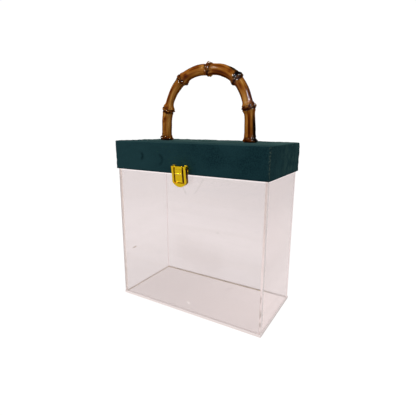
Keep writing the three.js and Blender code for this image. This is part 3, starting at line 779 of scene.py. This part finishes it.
# Painted shade on the flap's sides, deeper in two bands where gaps open: height, reach, strength
SIDE_SHADE = ((177.5, 2.6, 1.2), (171.6, 1.4, 0.8))
PIVOT = np.array([-57.3, 182.4])
KNUCKLE, LUG_NOSE = 1.5, 1.92
PLATE_BACK, PLATE_FRONT, PLATE_LOW, PLATE_TOP = -52.8, -53.4, 174.6, 180.3
LUG_FLAT, CREST_TOP, EAR_TOP = 183.35, 183.65, 184.3
PROFILE_EASE = 0.15
# Both rails along X, and the pin's ends: distance from the clasp's middle, radius
RAILS = CLASP_X + np.array([(-FLAP_HALF, -RAIL_IN), (RAIL_IN, FLAP_HALF)])
PIN = np.array([(PANEL_HALF, 0.5), (FLAP_HALF, 0.5), (FLAP_HALF + 0.02, 0.9), (FLAP_HALF + 0.18, 0.8),
                (FLAP_HALF + 0.25, 0.5)])


def inside(value, low, high, ease=CUT_EASE):
    """One between two limits, with a short ease at both."""
    return smoothstep(low - ease, low + ease, value) * (1 - smoothstep(high - ease, high + ease, value))


def flap_shell():
    """Flap: a relief plate on a grid of heights and shares of its half width, nearly a parabola below the
    shoulder. The front is cut back by a quarter circle along the rim, by two slots and a band below the
    panel, by a split across it and by a shallow dish in each half of it and in the tab. Painted shade lies
    in the slots, deepest in the right one, in the band, along the tab's rim and on the sides, and a painted
    highlight along the split."""
    tab = FLAP_SHOULDER - FLAP_LOW
    bend = np.linspace(np.radians(87), 0, 26)
    near = np.array([-CUT_EASE, 0.0, CUT_EASE])
    steps = (SLOT_LOW, PANEL_LOW, PANEL_LOW + PANEL_RIM, SPLIT_Z - PANEL_RIM, SPLIT_Z, SPLIT_Z + PANEL_RIM)
    height = np.concatenate([FLAP_SHOULDER - tab * np.sin(bend), np.arange(FLAP_SHOULDER, FLAP_TOP, 0.3),
                             np.add.outer(steps, near).ravel(), FLAP_TOP - np.linspace(0, 0.7, 6)])
    height = np.unique(height.round(3))
    lines = np.array([PANEL_HALF - PANEL_RIM, PANEL_HALF, RAIL_IN, FLAP_HALF - FLAP_WALL])
    lines = np.add.outer(lines / FLAP_HALF, near / FLAP_HALF).ravel()
    rim = 1 - np.array([0.0, 0.003, 0.01, 0.022, 0.04, 0.065])
    share = np.concatenate([np.linspace(0, 0.92, 30), lines, rim])
    share = np.unique(np.concatenate([-share, share]).round(4))
    drop = np.clip((FLAP_SHOULDER - height) / tab, 0, 1)
    half = FLAP_HALF * np.sqrt(1 - drop ** TAB_POWER)
    x = half[:, None] * share
    z = np.broadcast_to(height[:, None], x.shape)
    wide = np.abs(x)
    below = np.maximum(FLAP_SHOULDER - z, 0)
    within = 1 - (x / FLAP_HALF) ** 2 - (below / tab) ** TAB_POWER
    slope = np.hypot(2 * x / FLAP_HALF ** 2, TAB_POWER * (below / tab) ** (TAB_POWER - 1) / tab)
    border = np.where(below > 0, np.maximum(within, 0) / np.maximum(slope, 1e-6), FLAP_HALF - wide)
    border = np.minimum(border, np.where(wide > PANEL_HALF + 1, FLAP_TOP - z + 0.4, FLAP_EDGE))
    curve = np.clip(1 - border / FLAP_EDGE, 0, 1)
    above = smoothstep(SLOT_LOW - CUT_EASE, SLOT_LOW + CUT_EASE, z)
    band = inside(wide, -1, RAIL_IN) * inside(z, SLOT_LOW, PANEL_LOW)
    cut = np.maximum(inside(wide, PANEL_HALF, RAIL_IN) * above, band)
    split = inside(wide, -1, PANEL_HALF) * bump(z - SPLIT_Z, 0.2)
    lower = inside(z, PANEL_LOW + PANEL_RIM, SPLIT_Z - PANEL_RIM)
    upper = inside(z, SPLIT_Z + PANEL_RIM, FLAP_TOP + 1)
    dish = inside(wide, -1, PANEL_HALF - PANEL_RIM) * np.maximum(lower, upper)
    bowl = smoothstep(TAB_RIM - 0.3, TAB_RIM + 0.3, border) * (1 - smoothstep(SLOT_LOW - 0.6, SLOT_LOW, z))
    depth = FLAP_EDGE * (1 - np.sqrt(1 - curve ** 2)) + SLOT_DEPTH * cut
    depth += SPLIT_DEPTH * split + DISH_DEPTH * dish + BOWL_DEPTH * bowl
    on_tab = z < FLAP_SHOULDER
    walled = np.where(on_tab, border, FLAP_HALF - wide) < FLAP_WALL
    reach = TAB_BACK + (WALL_BACK - TAB_BACK) * smoothstep(PANEL_HALF, FLAP_HALF - 1.0, wide)
    behind = np.where(walled, reach, np.where(on_tab, TAB_BACK, FLAP_BACK))
    front = np.stack([x + CLASP_X, FLAP_FRONT + depth, z], -1)
    back = np.stack([x + CLASP_X, behind, z], -1)
    # Painted shade in the slots, deeper in the right one and most below the split, lighter in the left, a
    # little in the band and along the tab's rim; a painted highlight along the split
    right = np.where(z < SPLIT_Z, 1.1, 1.0)
    slot_shade = inside(wide, PANEL_HALF - 0.25, RAIL_IN + 0.2, 0.05) * above
    ring = bump(border - TAB_RIM, 0.45) * (1 - smoothstep(SLOT_LOW - 0.5, SLOT_LOW, z))
    shade_and_highlight = np.maximum(slot_shade * np.where(x > 0, right, 0.3), 0.3 * np.maximum(band, ring)) - 0.8 * split
    # Painted shade on the sides
    side = 0.65 + sum(strength * bump(z - at, reach) for at, reach, strength in SIDE_SHADE)
    rim = np.abs(share) > 0.999
    shade_and_highlight, rear = np.where(rim, side, shade_and_highlight), np.where(rim, side, 0.1)
    return plate_shell(front, back), np.concatenate([shade_and_highlight.ravel(), rear.ravel()])


def arc_yz(radius, start, end, count):
    """Arc about the pin in the YZ plane, its angles measured from the back towards the top."""
    roll = np.radians(np.linspace(start, end, count))
    return PIVOT + radius * np.stack([np.cos(roll), np.sin(roll)], -1)


def flap_top():
    """Top of the flap: the panel's front rises past the pin to a flat top and goes down again behind it, and
    each rail ends in a wedge hollowed round the lug above it."""
    front, rear, low = FLAP_FRONT + 0.2, PIVOT[0] + KNUCKLE, FLAP_TOP - 0.6
    crown = np.array([
        (front, low), (front, LUG_FLAT), (front + 0.3, CREST_TOP), (PIVOT[0] + 0.9, CREST_TOP),
        (rear, LUG_FLAT), (rear, PIVOT[1] - 0.8), (FLAP_BACK, low)])
    hollow = arc_yz(LUG_NOSE + 0.1, 212.5, 261.0, 10)
    wedge = np.vstack([(FLAP_FRONT, hollow[0, 1]), hollow, (hollow[-1, 0], FLAP_TOP), (FLAP_FRONT, FLAP_TOP)])
    return together(prism(crown, CLASP_X - PANEL_HALF + 0.05, CLASP_X + PANEL_HALF - 0.05),
                    *(prism(wedge, *rail, PROFILE_EASE) for rail in RAILS))


def hanger_shell():
    """Plate on the lid with two lugs and the pin's ends: a thin slab, two profiles that round the pin, are
    flat on top and rise to a small ear near the lid, and a headed bar through each."""
    low = (CLASP_X - FLAP_HALF, PLATE_FRONT, PLATE_LOW)
    high = (CLASP_X + FLAP_HALF, PLATE_BACK, PLATE_TOP)
    shells = [slab(low, high, 0.2)]
    nose = arc_yz(LUG_NOSE, 207.7, 280, 12)
    ear = np.array([
        (PLATE_BACK, PLATE_TOP + 0.1), (PLATE_BACK, LUG_FLAT), (-53.8, LUG_FLAT + 0.1), (-54.1, EAR_TOP),
        (-55.1, EAR_TOP), (-55.5, LUG_FLAT + 0.3), (-58.2, LUG_FLAT + 0.3), (nose[0, 0], LUG_FLAT)])
    for sign, rail in zip((-1, 1), RAILS):
        shells.append(prism(np.vstack([nose, ear]), *rail, PROFILE_EASE))
        shells.append(lathe_x(CLASP_X + sign * PIN[:, 0], PIN[:, 1], PIVOT))
    return together(*shells)


def tilted(shell):
    """The shell turned about the pin, so that its lower end lies nearer to the box."""
    points, quads, fans = shell
    away = points[:, 1:] - PIVOT
    turn = np.array([[np.cos(FLAP_TILT), -np.sin(FLAP_TILT)], [np.sin(FLAP_TILT), np.cos(FLAP_TILT)]])
    return np.column_stack([points[:, 0], PIVOT + away @ turn.T]), quads, fans


def softened(node, body, width, finish):
    """Copy of a CAD node with its doubles merged and its sharp edges rounded."""
    made = linked("soft_" + node, bpy.data.objects[node].data.copy())
    made.data.materials.clear()
    made.data.materials.append(finish)
    given(made.modifiers.new("merge", "WELD"), merge_threshold=1e-6)
    given(made.modifiers.new("plain", "DECIMATE"), decimate_type="DISSOLVE", angle_limit=np.radians(1.0))
    given(made.modifiers.new("round", "BEVEL"), width=width * MM, segments=2, limit_method="ANGLE",
          angle_limit=np.radians(40), harden_normals=True)
    made.data.shade_smooth()
    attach(made, body)
    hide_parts(node)


acrylic_sheets()
lid, lid_marks = lid_shell()
piece("lid_cover", outward(lid), "lid", ["velvet_lid"], [velvet_finish()],
      sharp=60.0, marks=lid_marks)
handle, handle_marks = handle_shell()
cane = piece("cane_handle", outward(handle), "lid", ["bamboo_handle"], [bamboo_finish()],
             sharp=60.0, marks=handle_marks)
gilt = gilt_finish()
flap, flap_shading = flap_shell()
crest = flap_top()
flap_shading = np.append(flap_shading, np.zeros(len(crest[0])))
swing = piece("gilt_flap", tilted(together(flap, crest)), "flap", ["clasp_flap"], [gilt],
              marks={"shade_and_highlight": flap_shading})
hanger = piece("gilt_hanger", hanger_shell(), "lid", ["clasp_lid_plate"], [gilt])
polished = bpy.data.collections.new("polished")
for shiny in (cane, swing, hanger):
    polished.objects.link(shiny)
for node, body, width in (
        ("clasp_catch", "box", 0.3), ("hinge_left_lid_leaf", "lid", 0.2),
        ("hinge_right_lid_leaf", "lid", 0.2), ("hinge_left_box_leaf", "box", 0.2),
        ("hinge_right_box_leaf", "box", 0.2), ("handle_screw_left", "lid", 0.4),
        ("handle_screw_right", "lid", 0.4)):
    softened(node, body, width, gilt)


# Camera, floor and light

UP = np.array([0.0, 0.0, 1.0])
# Camera fitted to the photograph: eye in millimetres, angles, focal length and optical centre in pixels of a
# picture of the given width, and width of the sensor
EYE = np.array([207.51, -351.51, 225.49])
AZIMUTH, ELEVATION, ROLL = np.radians([29.884, 13.13, 0.479])
FOCAL, CENTRE_X, CENTRE_Y, PICTURE, SENSOR = 324.37, 209.65, 203.2, 416, 36.0
# Lamps: name, place, target, size, power, and whether it gives glints on the polished pieces or soft light
LAMPS = (
    ("window_right", (1.32, -0.42, 0.78), (0, 0, 0.25), (0.09, 1.0), 90, True),
    ("glint_left", (-0.75, -1.3, 1.15), (0, 0, 0.25), (0.2, 0.2), 40, True),
    ("glint_above", (0.55, -1.2, 1.7), (0, 0, 0.25), (0.16, 0.16), 26, True),
    ("front_left", (-0.9, -1.6, 1.0), (0, 0, 0.15), (0.9, 0.9), 12, False),
    ("above", (0.1, -0.3, 1.7), (0, 0, 0.1), (0.8, 0.8), 5, False),
)
FLOOR_REACH = 40.0


def held(name, data, right, up, back, place):
    """Camera or lamp at a place, turned to the three axes given."""
    made = linked(name, data)
    turn = np.eye(4)
    turn[:3] = np.stack([right, up, back, place], -1)
    made.matrix_world = Matrix(turn.tolist())
    return made


def add_camera():
    """Camera at the photograph's angle: its back axis from azimuth and elevation, turned by a small roll."""
    level = np.array([np.sin(AZIMUTH), -np.cos(AZIMUTH), 0.0])
    back = np.cos(ELEVATION) * level + np.sin(ELEVATION) * UP
    right = np.array([np.cos(AZIMUTH), np.sin(AZIMUTH), 0.0])
    up = np.cross(back, right)
    right, up = np.cos(ROLL) * right + np.sin(ROLL) * up, np.cos(ROLL) * up - np.sin(ROLL) * right
    lens = given(bpy.data.cameras.new("camera"), sensor_width=SENSOR, lens=FOCAL / PICTURE * SENSOR,
                 shift_x=0.5 - CENTRE_X / PICTURE, shift_y=CENTRE_Y / PICTURE - 0.5, clip_start=0.01)
    bpy.context.scene.camera = held("camera", lens, right, up, back, EYE * MM)


def softbox(name, place, target, size, power, glint):
    """Rectangular lamp at a place, facing a target."""
    lamp = given(bpy.data.lights.new(name, "AREA"), shape="RECTANGLE", size=size[0], size_y=size[1],
                 energy=power)
    back = np.subtract(place, target)
    back /= np.linalg.norm(back)
    right = np.cross(UP, back)
    right /= np.linalg.norm(right)
    box = held(name, lamp, right, np.cross(back, right), back, place)
    given(box, visible_glossy=glint, visible_diffuse=not glint, visible_transmission=False)
    if glint:
        box.light_linking.receiver_collection = polished


def by_ray(f, straight, mirror, light):
    """A strength for each kind of ray: seen straight or through acrylic, in a mirror image, or as light."""
    path = f.node("ShaderNodeLightPath").outputs
    clear = f.sum("MAXIMUM", path["Is Camera Ray"], path["Is Transmission Ray"])
    other = f.sum("MULTIPLY_ADD", path["Is Glossy Ray"], mirror - light, light)
    share = f.sum("SUBTRACT", 1.0, clear)
    return f.sum("MULTIPLY_ADD", other, share, f.times(clear, straight))


def add_floor():
    """Pale floor, wide enough to reach the horizon, that glows so that shadows stay faint."""
    mesh = bpy.data.meshes.new("floor")
    corners = FLOOR_REACH * np.array([(-1, -1, 0), (1, -1, 0), (1, 1, 0), (-1, 1, 0)])
    mesh.from_pydata(corners.tolist(), [], [(0, 1, 2, 3)])
    f = Finish("white_floor")
    glow = by_ray(f, straight=0.97, mirror=0.6, light=0.55)
    paper = f.surface((0.08, 0.08, 0.08), 1.0, {"Emission Color": (1.0, 1.0, 1.0), "Emission Strength": glow})
    mesh.materials.append(paper)
    floor = linked("floor", mesh)


def add_world():
    """White surroundings for what the camera sees directly or through the acrylic, and a dimmer room for
    everything else."""
    world = bpy.data.worlds.new("room")
    world.use_nodes = True
    world.node_tree.nodes.clear()
    f = Finish("room", world.node_tree)
    strength = by_ray(f, straight=1.03, mirror=0.12, light=0.7)
    light = f.node("ShaderNodeBackground", {"Color": (1.0, 1.0, 1.0), "Strength": strength})
    f.node("ShaderNodeOutputWorld", {"Surface": light.outputs[0]})
    bpy.context.scene.world = world


add_camera()
add_floor()
add_world()
for lamp_row in LAMPS:
    softbox(*lamp_row)
view = bpy.context.scene.view_settings
view.view_transform = "Standard"
view.look = "None"
